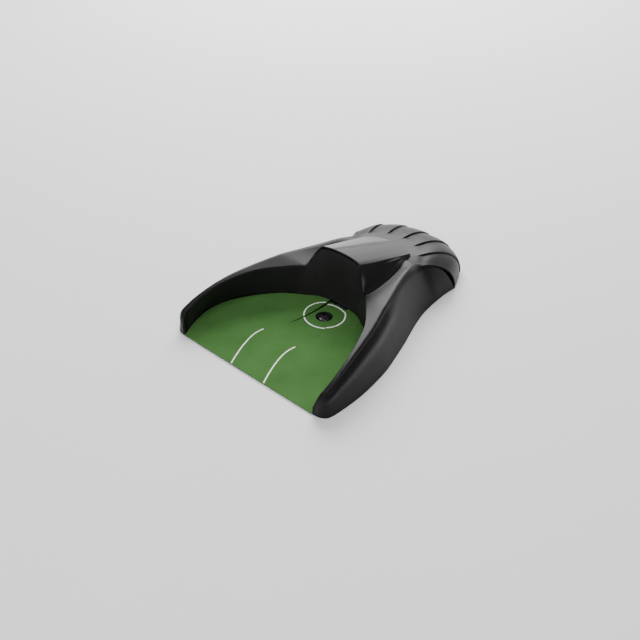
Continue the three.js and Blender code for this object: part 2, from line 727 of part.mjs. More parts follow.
function feltOutline() {
  const outline = mouthOutline(feltZ(FRONT_Y + 60), 1);
  return outline.map((p) => [p.x, Math.max(FRONT_Y, p.y)]);
}

function makeFeltMat() {
  const sheet = onRamp(slab(feltOutline(), GAP, GAP + FELT_THICKNESS));
  const edge = box(-WIDTH, WIDTH, FRONT_Y, BACK_WALL_Y + 1, -10, 40);
  return sheet.intersect(edge).subtract(slab(flapOutline(HINGE_Y - GAP, LENGTH, FLAP_SLIT), -1, 40));
}

function flapRearY() {
  return HINGE_Y + FLAP_LENGTH - 0.4;
}

function makeFlapPlate() {
  let plate = slab(flapOutline(HINGE_Y + 0.8, flapRearY(), -0.2), FLAP_PLATE_Z, FLAP_PLATE_Z + FLAP_PLATE);
  plate = plate.subtract(rodZ(HOLE_RADIUS, 0, HOLE_Y, -1, 20, 24));
  const barrelHalf = FLAP_FRONT_HALF - 3 - GAP;
  plate = plate.subtract(box(-40, 40, HINGE_Y - 3, HINGE_Y + 2.2, -1, 20).subtract(
    box(-barrelHalf, barrelHalf, HINGE_Y - 3, HINGE_Y + 2.2, -1, 20),
  ));
  plate = plate.add(rodX(HINGE_BARREL_RADIUS, -barrelHalf, barrelHalf, HINGE_Y, HINGE_Z, 16));
  return plate.subtract(rodX(HINGE_WIRE_RADIUS + RUNNING_GAP, -40, 40, HINGE_Y, HINGE_Z, 12));
}

function makeFlapFelt() {
  const felt = slab(flapOutline(HINGE_Y + 1.2, flapRearY(), 0), FLAP_FELT_Z, FLAP_TOP_Z);
  return felt.subtract(rodZ(HOLE_RADIUS, 0, HOLE_Y, -1, 20, 24));
}

// A two-armed fork under the flap, a hub, and a lever that stands up behind the wall.
function makeKickerArm() {
  const tipY = ARM_Y - ARM_REACH;
  const [bottom, top] = [ARM_TIP_Z, ARM_TIP_Z + ARM_STRIP];
  const rearY = BACK_WALL_Y - 1;
  const hubRadius = 2.3;
  const profile = [
    [tipY, bottom], [rearY, bottom], [ARM_Y, ARM_PIVOT_Z - hubRadius],
    [ARM_Y, ARM_PIVOT_Z + 0.6], [rearY, top], [tipY + 0.6, top],
  ];
  let arm = sidePlate(profile, -ARM_FORK_OUTER, ARM_FORK_OUTER);
  arm = arm.subtract(box(-ARM_FORK_INNER, ARM_FORK_INNER, tipY - 1, HOLE_Y + BUTTON_RADIUS + 2, -1, 20));
  const hubHalf = ARM_LEVER_THICKNESS + 3;
  arm = arm.subtract(box(-40, -hubHalf, ARM_Y - 5, ARM_Y + 9, -1, 20));
  arm = arm.subtract(box(hubHalf, 40, ARM_Y - 5, ARM_Y + 9, -1, 20));
  arm = arm.add(rodX(hubRadius, -hubHalf, hubHalf, ARM_Y, ARM_PIVOT_Z, 20));
  const half = ARM_LEVER_THICKNESS / 2;
  const [y0, y1] = [ARM_Y - ARM_LEVER_WIDTH / 2, ARM_Y + ARM_LEVER_WIDTH / 2];
  arm = arm.add(box(-half, half, y0, y1, ARM_PIVOT_Z, PIN_Z + 5));
  const slot = box(-9, 9, ARM_Y - LINK_SLOT_HALF, ARM_Y + LINK_SLOT_HALF, PIN_Z - 2, PIN_Z + 3.2);
  return arm.subtract(slot).subtract(rodX(PIVOT_PIN_RADIUS + RUNNING_GAP, -20, 20, ARM_Y, ARM_PIVOT_Z, 16));
}

function makePlunger() {
  const earInner = ARM_LEVER_THICKNESS / 2 + 0.4;
  const front = ARM_Y - 4;
  const body = front + CLEVIS_LENGTH;
  let plunger = box(-earInner - CLEVIS_EAR, earInner + CLEVIS_EAR, front, body + 1, PIN_Z - 3, PIN_Z + 3);
  plunger = plunger.subtract(box(-earInner, earInner, front - 1, body - 3, PIN_Z - 9, PIN_Z + 9));
  plunger = plunger.add(rodY(PLUNGER_RADIUS, 0, body, body + PLUNGER_LENGTH - 6, PIN_Z));
  plunger = plunger.add(rodY(SPRING_RADIUS + 1.2, 0, body, body + 1.5, PIN_Z));
  return plunger.subtract(rodX(LINK_PIN_RADIUS + GAP, -9, 9, ARM_Y, PIN_Z, 12));
}

function makeLinkPin() {
  const half = ARM_LEVER_THICKNESS / 2 + 0.4 + CLEVIS_EAR + 0.6;
  return rodX(LINK_PIN_RADIUS, -half, half, ARM_Y, PIN_Z, 12);
}

function makeReturnSpring() {
  class Helix extends THREE.Curve {
    getPoint(t, target = new THREE.Vector3()) {
      const turn = t * SPRING_TURNS * 2 * Math.PI;
      const usable = SPRING_LENGTH - 2 * (SPRING_WIRE + GAP);
      const y = SOLENOID_Y - SPRING_LENGTH + SPRING_WIRE + GAP + t * usable;
      return target.set(SPRING_RADIUS * Math.cos(turn), y, PIN_Z + SPRING_RADIUS * Math.sin(turn));
    }
  }
  const section = new THREE.Shape();
  section.absarc(0, 0, SPRING_WIRE, 0, 2 * Math.PI);
  const geometry = new THREE.ExtrudeGeometry(section, {
    steps: SPRING_TURNS * 10,
    curveSegments: 2,
    extrudePath: new Helix(),
    bevelEnabled: false,
  });
  return solidOf(geometry);
}

function makeSolenoidFrame() {
  const y0 = SOLENOID_Y;
  const y1 = y0 + COIL_LENGTH + 2 * (FRAME_THICKNESS + GAP);
  const z0 = frameFloorZ();
  const z1 = PIN_Z + COIL_RADIUS + 1;
  let frame = box(-FRAME_HALF, FRAME_HALF, y0, y1, z0, z1);
  const [innerY0, innerY1] = [y0 + FRAME_THICKNESS, y1 - FRAME_THICKNESS];
  frame = frame.subtract(box(-40, 40, innerY0, innerY1, z0 + FRAME_THICKNESS, 90));
  frame = frame.subtract(rodY(PLUNGER_RADIUS + 0.5, 0, y0 - 1, y1 + 1, PIN_Z));
  for (const [x, y] of solenoidScrews()) {
    frame = frame.subtract(rodZ(SCREW_RADIUS + GAP, x, y, z0 - 1, z0 + FRAME_THICKNESS + 1));
  }
  return frame;
}

function makeCoil() {
  const y0 = SOLENOID_Y + FRAME_THICKNESS + GAP;
  const y1 = y0 + COIL_LENGTH;
  let coil = rodY(COIL_RADIUS - 2, 0, y0, y1, PIN_Z, 20);
  coil = coil.add(rodY(COIL_RADIUS, 0, y0, y0 + 1.5, PIN_Z, 32));
  coil = coil.add(rodY(COIL_RADIUS, 0, y1 - 1.5, y1, PIN_Z, 32));
  return coil.subtract(rodY(PLUNGER_RADIUS + 0.4, 0, y0 - 1, y1 + 1, PIN_Z, 24));
}

function makeButton() {
  const profile = [new THREE.Vector2(0, 0), new THREE.Vector2(BUTTON_RADIUS, 0)];
  const steps = 4;
  for (let i = 0; i <= steps; i += 1) {
    const angle = (i / steps) * (Math.PI / 2);
    const x = BUTTON_RADIUS * Math.cos(angle);
    profile.push(new THREE.Vector2(x, 0.4 + (BUTTON_HEIGHT - 0.4) * Math.sin(angle)));
  }
  profile[profile.length - 1].x = 0;
  const geometry = new THREE.LatheGeometry(profile, 20);
  geometry.rotateX(Math.PI / 2);
  geometry.translate(0, HOLE_Y, switchTopZ() + GAP);
  return solidOf(geometry);
}

function switchTopZ() {
  return WELL_FLOOR_TOP + GAP + SWITCH_HEIGHT;
}

function makeTactSwitch() {
  const half = SWITCH_SIDE / 2;
  const z0 = WELL_FLOOR_TOP + GAP;
  const body = box(-half, half, HOLE_Y - half, HOLE_Y + half, z0, z0 + SWITCH_HEIGHT - 0.4);
  return body.add(rodZ(1.6, 0, HOLE_Y, z0, z0 + SWITCH_HEIGHT, 16));
}

// The space that the cells need, with a margin on every side but the lower one.
function trayBlock(margin, z0 = FLOOR_TOP + GAP) {
  const half = TRAY_HALF + 0.6 + TRAY_WALL + margin;
  const halfLength = TRAY_LENGTH / 2 + TRAY_WALL + margin;
  const top = CELL_Z + CELL_RADIUS + 0.5 + TRAY_WALL + margin;
  return box(-half, half, TRAY_CENTRE_Y - halfLength, TRAY_CENTRE_Y + halfLength, z0, top);
}

function makeTray() {
  return trayBlock(0).subtract(trayBlock(-TRAY_WALL, -5));
}

function cellX(i) {
  return (i - (CELL_COUNT - 1) / 2) * CELL_PITCH;
}

function makeCell(i) {
  const [y0, y1] = [TRAY_CENTRE_Y - CELL_LENGTH / 2, TRAY_CENTRE_Y + CELL_LENGTH / 2];
  const facing = i % 2 === 0 ? 1 : -1;
  const cap = facing > 0 ? [y1 - 1.5, y1] : [y0, y0 + 1.5];
  const can = facing > 0 ? [y0, y1 - 1] : [y0 + 1, y1];
  return rodY(CELL_RADIUS, cellX(i), ...can, CELL_Z).add(rodY(2.7, cellX(i), ...cap, CELL_Z, 16));
}

// A sheet contact bridging two cells at one end of the tray.
function makeContact(end, firstCell) {
  const wallY = TRAY_CENTRE_Y + (end * TRAY_LENGTH) / 2 - end * GAP;
  const [y0, y1] = [wallY, wallY - end * CONTACT_SHEET].sort((a, b) => a - b);
  const half = CELL_RADIUS - 1;
  let contact = box(cellX(firstCell) - half, cellX(firstCell + 1) + half, y0, y1, CELL_Z - 5, CELL_Z + 5);
  for (const i of [firstCell, firstCell + 1]) {
    const reach = wallY - end * (CONTACT_SPACE - 2 * GAP);
    const [s0, s1] = [wallY - end * 0.1, reach].sort((a, b) => a - b);
    contact = contact.add(rodY(i % 2 === 0 ? 3.2 : 2.2, cellX(i), s0, s1, CELL_Z, 14));
  }
  return contact;
}

function makeDoor() {
  const door = doorBox(0);
  let lid = box(door.x0, door.x1, door.y0, door.y1, PLATE_Z, FLOOR_TOP);
  for (let i = 0; i < 3; i += 1) {
    const y = door.y1 - 8 - i * 3;
    lid = lid.subtract(box(-9, 9, y, y + 1.2, PLATE_Z - 1, PLATE_Z + 0.5));
  }
  return lid;
}

function makeKnob() {
  const { x, y } = switchPlace();
  const [halfX, halfY] = [SWITCH_KNOB.width / 2, SWITCH_KNOB.length / 2];
  return box(x - halfX, x + halfX, y - halfY, y + halfY, PLATE_Z - 0.4, FLOOR_TOP + 1.2);
}

function makeSwitchBody() {
  const { x, y } = switchPlace();
  const centre = y + SWITCH_KNOB.travel / 2;
  return box(x - 5, x + 5, centre - 9, centre + 9, FLOOR_TOP + 1.5, FLOOR_TOP + 8);
}

function boardPlace() {
  return { x: styleX(33), y: styleY(186) };
}

function makeBoard() {
  const { x, y } = boardPlace();
  const [halfX, halfY] = [BOARD.width / 2, BOARD.length / 2];
  return box(x - halfX, x + halfX, y - halfY, y + halfY, BOARD.z, BOARD.z + BOARD.thickness);
}

function makeCapacitor(i) {
  const { x, y } = boardPlace();
  return rodZ(5, x - 3, y - 12 + i * 14, BOARD.z + BOARD.thickness + GAP, BOARD.z + 18, 20);
}

function makeChip() {
  const { x, y } = boardPlace();
  return box(x + 3.5, x + 9, y - 6, y + 6, BOARD.z + BOARD.thickness + GAP, BOARD.z + 5);
}

// A countersunk-flat screw driven upwards.
function makeScrew(x, y, headZ, length) {
  const head = rodZ(SCREW_HEAD_RADIUS, x, y, headZ, headZ + 1.2, 16);
  const cross = box(x - 1.6, x + 1.6, y - 0.3, y + 0.3, headZ - 1, headZ + 0.6);
  const other = box(x - 0.3, x + 0.3, y - 1.6, y + 1.6, headZ - 1, headZ + 0.6);
  return head.add(rodZ(SCREW_RADIUS, x, y, headZ + 1, headZ + length, 12)).subtract(cross).subtract(other);
}

function makeFrameScrew(x, y) {
  const z = frameFloorZ() + FRAME_THICKNESS + GAP;
  return rodZ(2.5, x, y, z, z + 0.5, 16).add(rodZ(SCREW_RADIUS, x, y, z - 8, z + 0.1, 12));
}

function makeFoot(x, y) {
  return rodZ(FOOT_RADIUS, x, y, 0, PLATE_Z - GAP, 24);
}

// ---- Assembly ----

const object = new THREE.Group();
object.name = 'putting_returner';

function add(name, solid, material) {
  const mesh = new THREE.Mesh(geometryOf(solid), new THREE.MeshStandardMaterial(MATERIALS[material]));
  mesh.name = name;
  object.add(mesh);
}

add('housing', makeHousing(), 'shell');
add('hood_cover', makeHood(), 'hood');
add('mouth_liner', makeLiner(), 'liner');
add('ramp_plate', makeRampPlate(), 'shell');
add('base_plate', makeBasePlate(), 'shell');
add('felt_mat', makeFeltMat(), 'felt');
add('flap_plate', makeFlapPlate(), 'shell');
add('flap_felt', makeFlapFelt(), 'felt');
const wireHalf = FLAP_FRONT_HALF - 1.2;
add('flap_hinge_wire', rodX(HINGE_WIRE_RADIUS, -wireHalf, wireHalf, HINGE_Y, HINGE_Z, 12), 'steel');
add('kicker_arm', makeKickerArm(), 'nylon');
const pinHalf = ARM_LEVER_THICKNESS + 6;
add('arm_pivot_pin', rodX(PIVOT_PIN_RADIUS, -pinHalf, pinHalf, ARM_Y, ARM_PIVOT_Z, 16), 'steel');
add('plunger', makePlunger(), 'steel');
add('link_pin', makeLinkPin(), 'steel');
add('return_spring', makeReturnSpring(), 'steel');
add('solenoid_frame', makeSolenoidFrame(), 'steel');
add('solenoid_coil', makeCoil(), 'copper');
add('ball_button', makeButton(), 'button');
add('tact_switch', makeTactSwitch(), 'shell');
add('battery_tray', makeTray(), 'shell');
for (let i = 0; i < CELL_COUNT; i += 1) {
  add(`battery_${i + 1}`, makeCell(i), 'cell');
}
for (let i = 0; i < CELL_COUNT; i += 2) {
  add(`contact_front_${i / 2 + 1}`, makeContact(-1, i), 'steel');
  add(`contact_rear_${i / 2 + 1}`, makeContact(1, i), 'steel');
}
add('battery_door', makeDoor(), 'shell');
add('power_switch_body', makeSwitchBody(), 'shell');
add('power_switch_knob', makeKnob(), 'nylon');
add('circuit_board', makeBoard(), 'board');
for (let i = 0; i < 2; i += 1) {
  add(`capacitor_${i + 1}`, makeCapacitor(i), 'cell');
}
add('driver_chip', makeChip(), 'shell');
spotsOnBothSides(SCREW_SPOTS).forEach(([x, y], i) => {
  const headZ = i < 2 ? PLATE_Z + 0.2 : PLATE_Z - 0.6;
  add(`case_screw_${i + 1}`, makeScrew(x, y, headZ, SCREW_LENGTH), 'steel');
});
solenoidScrews().forEach(([x, y], i) => {
  add(`frame_screw_${i + 1}`, makeFrameScrew(x, y), 'steel');
});
spotsOnBothSides(FOOT_SPOTS).forEach(([x, y], i) => {
  add(`foot_${i + 1}`, makeFoot(x, y), 'rubber');
});

export default object;
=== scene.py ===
"""Putting returner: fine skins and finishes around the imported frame. Metres, +Z up."""

import json
import math

import bmesh
import bpy
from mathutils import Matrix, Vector


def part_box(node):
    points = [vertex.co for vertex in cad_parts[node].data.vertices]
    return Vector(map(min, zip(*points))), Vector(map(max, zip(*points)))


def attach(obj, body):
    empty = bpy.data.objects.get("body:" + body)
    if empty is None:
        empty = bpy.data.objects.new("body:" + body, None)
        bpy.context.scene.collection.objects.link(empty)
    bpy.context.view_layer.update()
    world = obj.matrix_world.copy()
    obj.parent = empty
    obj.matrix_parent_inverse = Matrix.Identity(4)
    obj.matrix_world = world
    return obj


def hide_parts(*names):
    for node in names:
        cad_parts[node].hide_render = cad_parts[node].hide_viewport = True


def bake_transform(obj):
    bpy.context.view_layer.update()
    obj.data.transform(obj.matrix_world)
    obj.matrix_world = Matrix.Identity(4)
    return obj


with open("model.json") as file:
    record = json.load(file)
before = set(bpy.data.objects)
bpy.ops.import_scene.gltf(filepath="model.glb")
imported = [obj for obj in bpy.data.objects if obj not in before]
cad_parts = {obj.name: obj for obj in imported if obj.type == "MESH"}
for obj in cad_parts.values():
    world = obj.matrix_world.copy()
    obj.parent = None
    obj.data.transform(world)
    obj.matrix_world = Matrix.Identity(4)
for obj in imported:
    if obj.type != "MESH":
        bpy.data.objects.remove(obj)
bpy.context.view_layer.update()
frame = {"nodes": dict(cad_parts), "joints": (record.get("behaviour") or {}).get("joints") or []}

MM = 0.001
FRONT_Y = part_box("felt_mat")[0].y
FELT_FRONT_TOP = 2.0 * MM
HINGE = Vector(next(j for j in frame["joints"] if j["name"] == "flap_hinge")["pos_m"])
HINGE_PLACE = (HINGE.y - FRONT_Y) / MM
FLAP_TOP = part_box("flap_felt")[1].z
FELT_BACK_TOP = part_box("felt_mat")[1].z
BUTTON_LOW, BUTTON_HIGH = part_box("ball_button")
HOLE_Y = (BUTTON_LOW.y + BUTTON_HIGH.y) / 2
HOLE_RADIUS = 9.0
SKIRT_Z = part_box("housing")[0].z
SHELL_WALL = 1.6 * MM
RIB_DROP = 1.9 * MM
FELT_THICKNESS = 0.9 * MM
FLAP_LENGTH = 46.4
FLAP_FRONT_HALF = 18.4
FLAP_BACK_HALF = 12.0
SLIT_LEFT = 0.8
SLIT_RIGHT = 0.3
MOUTH_DEPTH = 131.7
FELT_END = 138.8
FELT_SLOPE = (FELT_BACK_TOP - FELT_FRONT_TOP) / (MOUTH_DEPTH * MM)


# ---- Shared shaping tools ----

def at(x, y, z):
    """A point given in millimetres from the front edge of the ramp."""
    return Vector((x * MM, FRONT_Y + y * MM, z * MM))


def spline(points, steps):
    """Points on a smooth curve through given points."""
    out = []
    last = len(points) - 1
    for i in range(last):
        a, b = points[max(0, i - 1)], points[i]
        c, d = points[i + 1], points[min(last, i + 2)]
        for k in range(steps):
            t = k / steps
            out.append(0.5 * (2 * b + (c - a) * t + (2 * a - 5 * b + 4 * c - d) * t * t
                              + (3 * b - a - 3 * c + d) * t ** 3))
    out.append(points[-1].copy())
    return out


def flipped(points):
    return [Vector((-p.x, p.y, p.z)) for p in points]


def both_sides(points):
    """A right-hand half line and its mirror, as one line that ends on the left."""
    return points + flipped(points)[::-1][1:]


def bend(a, corner, b, steps):
    """A rounded corner from a to b."""
    points = []
    for k in range(steps + 1):
        t = k / steps
        points.append(a * (1 - t) ** 2 + corner * 2 * t * (1 - t) + b * t * t)
    return points


def run(a, b, steps):
    """Evenly spaced points from a towards b, without b."""
    return [a.lerp(b, k / steps) for k in range(steps)]


def sheet_mesh(rows):
    """A grid laid through rows of points."""
    bm = bmesh.new()
    across, along = len(rows[0]) - 1, len(rows) - 1
    bmesh.ops.create_grid(bm, x_segments=across, y_segments=along, size=1)
    bm.verts.ensure_lookup_table()
    for j, row in enumerate(rows):
        for i, point in enumerate(row):
            bm.verts[j * (across + 1) + i].co = point
    return bm


def merge(bm, distance):
    bmesh.ops.remove_doubles(bm, verts=bm.verts, dist=distance)
    bmesh.ops.dissolve_degenerate(bm, edges=bm.edges, dist=0.005 * MM)


def thicken(bm, thickness):
    """Gives a sheet a wall on the side away from its faces."""
    bmesh.ops.solidify(bm, geom=bm.faces[:], thickness=thickness)


def face_towards(bm, point, direction):
    """Turns the whole sheet so that its face nearest a point looks along a direction."""
    bm.normal_update()
    nearest = min(bm.faces, key=lambda f: (f.calc_center_median() - point).length)
    if nearest.normal.dot(direction) < 0:
        bmesh.ops.reverse_faces(bm, faces=bm.faces[:])


def absorb(whole, bm):
    """Moves one mesh into a larger one."""
    part = bpy.data.meshes.new("part")
    bm.to_mesh(part)
    bm.free()
    whole.from_mesh(part)
    bpy.data.meshes.remove(part)


def piece(name, bm, finish, body, stands_for=(), smooth_angle=40, bevel=0.0):
    """Makes the object, gives it its finish, and fixes it to its body; a blended piece has no body."""
    mesh = bpy.data.meshes.new(name)
    bm.normal_update()
    bm.to_mesh(mesh)
    bm.free()
    obj = bpy.data.objects.new(name, mesh)
    bpy.context.scene.collection.objects.link(obj)
    mesh.materials.append(finish)
    for polygon in mesh.polygons:
        polygon.use_smooth = True
    if bevel:
        edge = obj.modifiers.new("soft_edges", "BEVEL")
        edge.width = bevel
        edge.segments = 3
        edge.limit_method = "ANGLE"
        edge.angle_limit = math.radians(smooth_angle)
    mesh.set_sharp_from_angle(angle=math.radians(smooth_angle if not bevel else 75))
    if body:
        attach(obj, body)
    if stands_for:
        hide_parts(*stands_for)
    return obj


# ---- Finishes ----

class Finish:
    """A material being wired up."""

    def __init__(self, name):
        self.material = bpy.data.materials.new(name)
        self.material.use_nodes = True
        self.nodes = self.material.node_tree.nodes
        self.links = self.material.node_tree.links
        self.shader = self.nodes["Principled BSDF"]
        self.coordinates = self.add("ShaderNodeTexCoord")

    def add(self, kind, **values):
        node = self.nodes.new(kind)
        for key, value in values.items():
            if key in node.inputs:
                node.inputs[key].default_value = value
            else:
                setattr(node, key, value)
        return node

    def join(self, source, target):
        self.links.new(source, target)

    def set(self, **values):
        for key, value in values.items():
            self.shader.inputs[key.replace("_", " ")].default_value = value

    def noise(self, scale, detail=2.0, roughness=0.5, space="Object"):
        node = self.add("ShaderNodeTexNoise", Scale=scale, Detail=detail, Roughness=roughness)
        self.join(self.coordinates.outputs[space], node.inputs["Vector"])
        return node

    def ramp(self, source, stops):
        node = self.add("ShaderNodeValToRGB")
        elements = node.color_ramp.elements
        for index, (place, color) in enumerate(stops):
            element = elements[index] if index < 2 else elements.new(place)
            element.position = place
            element.color = (*color, 1)
        self.join(source, node.inputs["Fac"])
        return node

    def span(self, source, low, high):
        node = self.add("ShaderNodeMapRange")
        node.inputs["To Min"].default_value = low
        node.inputs["To Max"].default_value = high
        self.join(source, node.inputs["Value"])
        return node

    def bumps(self, *layers):
        """Bump layers: (height socket, strength, distance)."""
        below = None
        for height, strength, distance in layers:
            node = self.add("ShaderNodeBump", Strength=strength, Distance=distance)
            self.join(height, node.inputs["Height"])
            if below:
                self.join(below.outputs["Normal"], node.inputs["Normal"])
            below = node
        self.join(below.outputs["Normal"], self.shader.inputs["Normal"])


def moulded_black(name, shade, roughness, grain, grain_depth):
    """Spark-eroded black ABS: fine even grain, slightly uneven gloss."""
    f = Finish(name)
    fine = f.noise(grain, detail=3.0, roughness=0.6)
    cells = f.add("ShaderNodeTexVoronoi", Scale=grain * 0.7)
    f.join(f.coordinates.outputs["Object"], cells.inputs["Vector"])
    broad = f.noise(28.0, detail=3.0)
    tint = f.ramp(broad.outputs["Fac"], [(0.3, shade), (0.75, tuple(c * 1.25 for c in shade))])
    f.join(tint.outputs["Color"], f.shader.inputs["Base Color"])
    rough = f.span(fine.outputs["Fac"], roughness - 0.07, roughness + 0.07)
    f.join(rough.outputs["Result"], f.shader.inputs["Roughness"])
    f.bumps((fine.outputs["Fac"], 0.35, grain_depth), (cells.outputs["Distance"], 0.25, grain_depth))
    f.set(IOR=1.5, Specular_IOR_Level=0.16)
    return f.material


def polished_black(name):
    """Gloss ABS with the faintest orange peel and a few dull patches from handling."""
    f = Finish(name)
    peel = f.noise(90.0, detail=1.0)
    wear = f.noise(18.0, detail=4.0, roughness=0.6)
    tint = f.ramp(wear.outputs["Fac"], [(0.35, (0.008, 0.008, 0.009)), (0.8, (0.013, 0.013, 0.014))])
    f.join(tint.outputs["Color"], f.shader.inputs["Base Color"])
    rough = f.span(wear.outputs["Fac"], 0.1, 0.17)
    f.join(rough.outputs["Result"], f.shader.inputs["Roughness"])
    f.bumps((peel.outputs["Fac"], 0.04, 0.2 * MM))
    f.set(IOR=1.5, Specular_IOR_Level=0.32)
    return f.material


def green_felt(name, space="UV"):
    """Short needled pile: light tips, dark roots, and long soft drifts of shade."""
    f = Finish(name)
    fibre = f.noise(1500.0, detail=4.0, roughness=0.75, space=space)
    tuft = f.noise(420.0, detail=3.0, roughness=0.6, space=space)
    drift = f.noise(26.0, detail=3.0, space=space)
    roots = f.ramp(fibre.outputs["Fac"], [(0.3, (0.026, 0.088, 0.018)), (0.72, (0.088, 0.215, 0.058))])
    shade = f.ramp(drift.outputs["Fac"], [(0.3, (0.86, 0.88, 0.84)), (0.72, (1.12, 1.1, 1.1))])
    mix = f.add("ShaderNodeMix", data_type="RGBA", blend_type="MULTIPLY")
    mix.inputs["Factor"].default_value = 1.0
    f.join(roots.outputs["Color"], mix.inputs["A"])
    f.join(shade.outputs["Color"], mix.inputs["B"])
    f.join(mix.outputs["Result"], f.shader.inputs["Base Color"])
    f.bumps((tuft.outputs["Fac"], 0.5, 0.5 * MM), (fibre.outputs["Fac"], 0.7, 0.35 * MM))
    f.set(Roughness=0.95, Specular_IOR_Level=0.08, Sheen_Weight=0.05, Sheen_Roughness=0.6)
    f.shader.inputs["Sheen Tint"].default_value = (0.6, 1.0, 0.55, 1)
    return f.material


def printed_white(name):
    """White ink sunk into the pile, thin where the fibres show through."""
    f = Finish(name)
    fibre = f.noise(1800.0, detail=4.0, roughness=0.7)
    tint = f.ramp(fibre.outputs["Fac"], [(0.25, (0.6, 0.8, 0.58)), (0.42, (0.95, 1.0, 0.94))])
    f.join(tint.outputs["Color"], f.shader.inputs["Base Color"])
    f.bumps((fibre.outputs["Fac"], 0.5, 0.2 * MM))
    f.set(Roughness=0.85, Specular_IOR_Level=0.2)
    return f.material


def metal(name, low, high, roughness, stretch=(1, 1, 1)):
    """Bare or plated metal with drawn streaks."""
    f = Finish(name)
    place = f.add("ShaderNodeMapping")
    place.inputs["Scale"].default_value = stretch
    f.join(f.coordinates.outputs["Object"], place.inputs["Vector"])
    streak = f.add("ShaderNodeTexNoise", Scale=900.0, Detail=3.0)
    f.join(place.outputs["Vector"], streak.inputs["Vector"])
    tint = f.ramp(streak.outputs["Fac"], [(0.3, low), (0.7, high)])
    f.join(tint.outputs["Color"], f.shader.inputs["Base Color"])
    rough = f.span(streak.outputs["Fac"], roughness - 0.08, roughness + 0.1)
    f.join(rough.outputs["Result"], f.shader.inputs["Roughness"])
    f.bumps((streak.outputs["Fac"], 0.15, 0.05 * MM))
    f.set(Metallic=1.0)
    return f.material


def mottled(name, low, high, roughness, scale=600.0, depth=0.05 * MM):
    """Plain moulded or coated surface with fine mottling."""
    f = Finish(name)
    grain = f.noise(scale, detail=3.0)
    tint = f.ramp(grain.outputs["Fac"], [(0.3, low), (0.7, high)])
    f.join(tint.outputs["Color"], f.shader.inputs["Base Color"])
    rough = f.span(grain.outputs["Fac"], roughness - 0.05, roughness + 0.08)
    f.join(rough.outputs["Result"], f.shader.inputs["Roughness"])
    f.bumps((grain.outputs["Fac"], 0.2, depth))
    return f.material


def wound_wire(name):
    """Enamelled wire laid in close turns along Y."""
    f = Finish(name)
    wave = f.add("ShaderNodeTexWave", wave_type="BANDS", bands_direction="Y", Scale=700.0, Distortion=0.4)
    f.join(f.coordinates.outputs["Object"], wave.inputs["Vector"])
    tint = f.ramp(wave.outputs["Fac"], [(0.1, (0.12, 0.035, 0.012)), (0.7, (0.5, 0.2, 0.08))])
    f.join(tint.outputs["Color"], f.shader.inputs["Base Color"])
    f.bumps((wave.outputs["Fac"], 0.6, 0.15 * MM))
    f.set(Roughness=0.35, Metallic=0.6)
    return f.material


GRAINED = moulded_black("grained_black_abs", (0.008, 0.008, 0.0085), 0.39, 1500.0, 0.1 * MM)
SATIN = moulded_black("satin_black_abs", (0.019, 0.018, 0.019), 0.42, 900.0, 0.05 * MM)
GLOSS = polished_black("gloss_black_abs")
FELT = green_felt("putting_felt")
INK = printed_white("printed_line")
SMOKE = mottled("smoky_button_plastic", (0.014, 0.01, 0.015), (0.028, 0.02, 0.029), 0.26, 300.0, 0.02 * MM)
STEEL = metal("bright_steel", (0.42, 0.42, 0.43), (0.62, 0.62, 0.63), 0.3, (1, 0.1, 1))
ZINC = metal("zinc_plated_sheet", (0.45, 0.46, 0.44), (0.66, 0.67, 0.64), 0.38, (0.2, 1, 1))
COPPER = wound_wire("enamelled_winding")
NYLON = mottled("charcoal_nylon", (0.018, 0.018, 0.019), (0.034, 0.034, 0.035), 0.45)
BOARD = mottled("solder_mask", (0.012, 0.11, 0.04), (0.02, 0.17, 0.07), 0.35, 260.0)
JACKET = mottled("cell_jacket_foil", (0.03, 0.035, 0.045), (0.06, 0.065, 0.08), 0.3, 120.0)
RUBBER = mottled("foot_rubber_black", (0.012, 0.012, 0.012), (0.028, 0.028, 0.028), 0.85, 900.0, 0.1 * MM)


# ---- Shell outlines, right half, in millimetres from the front edge ----

SIDE_FOOT = [
    (88, 0.4), (96, 1.4), (101.2, 4.8), (103.7, 11), (105, 26), (105.2, 48), (103.2, 71), (99.4, 95),
    (92.6, 120), (89.6, 130), (84.6, 146), (76, 171), (69.6, 194), (66.6, 216), (65.8, 227), (65.4, 237),
    (65.5, 244), (65.8, 250.5), (66.3, 257),
]
SHOULDER = [
    (88, 0.8, 9), (95, 2.8, 17), (97.8, 6.4, 24.4), (98.1, 12, 27.9), (96.9, 25, 33), (93.8, 48, 39.2),
    (89.2, 71, 43.6), (82.9, 95, 46.2), (74.2, 120, 48.8), (70.9, 130, 49.1), (65.2, 146, 49.2),
    (56.2, 171, 49.6), (49.9, 194, 48), (47.3, 214, 42.2), (51.8, 226, 39.8),
    (55.9, 235, 35.8), (59.3, 242, 29.2), (63, 250, 17), (66, 256.6, 2),
]
MOUTH_EDGE = [
    (88, 1.0, 9), (90.2, 3, 16.8), (91.5, 6.6, 22.8), (92.1, 12, 25.8), (91.8, 25, 31.3), (88.2, 48, 38.3),
    (81.3, 71, 41.9), (70.6, 94.5, 43.7), (50.9, 119.8, 44), (41.1, 130, 43.6),
]
HOOD_SIDE = [
    (41.1, 130, 43.6), (42.2, 146, 43.9), (40.3, 171, 44.1), (35.9, 194, 44.2), (31.4, 212, 43.6),
    (42, 224, 35), (46, 231, 31),
    (50, 237, 24), (55, 243, 12), (58, 248, 1),
]
MOUTH_FELT = [
    (88, 0.6), (89, 3.2), (90.4, 6.2), (93, 11.5), (97.8, 25), (101.3, 46), (94.6, 71.5), (79.6, 96.3),
    (54.5, 121.2), (46.2, 125.4),
]
POST = [(41.1, 130, 43.6), (38.3, 132.1, 47.3), (33, 135.3, 58.5), (28.4, 138.2, 66), (25.8, 139.4, 69)]
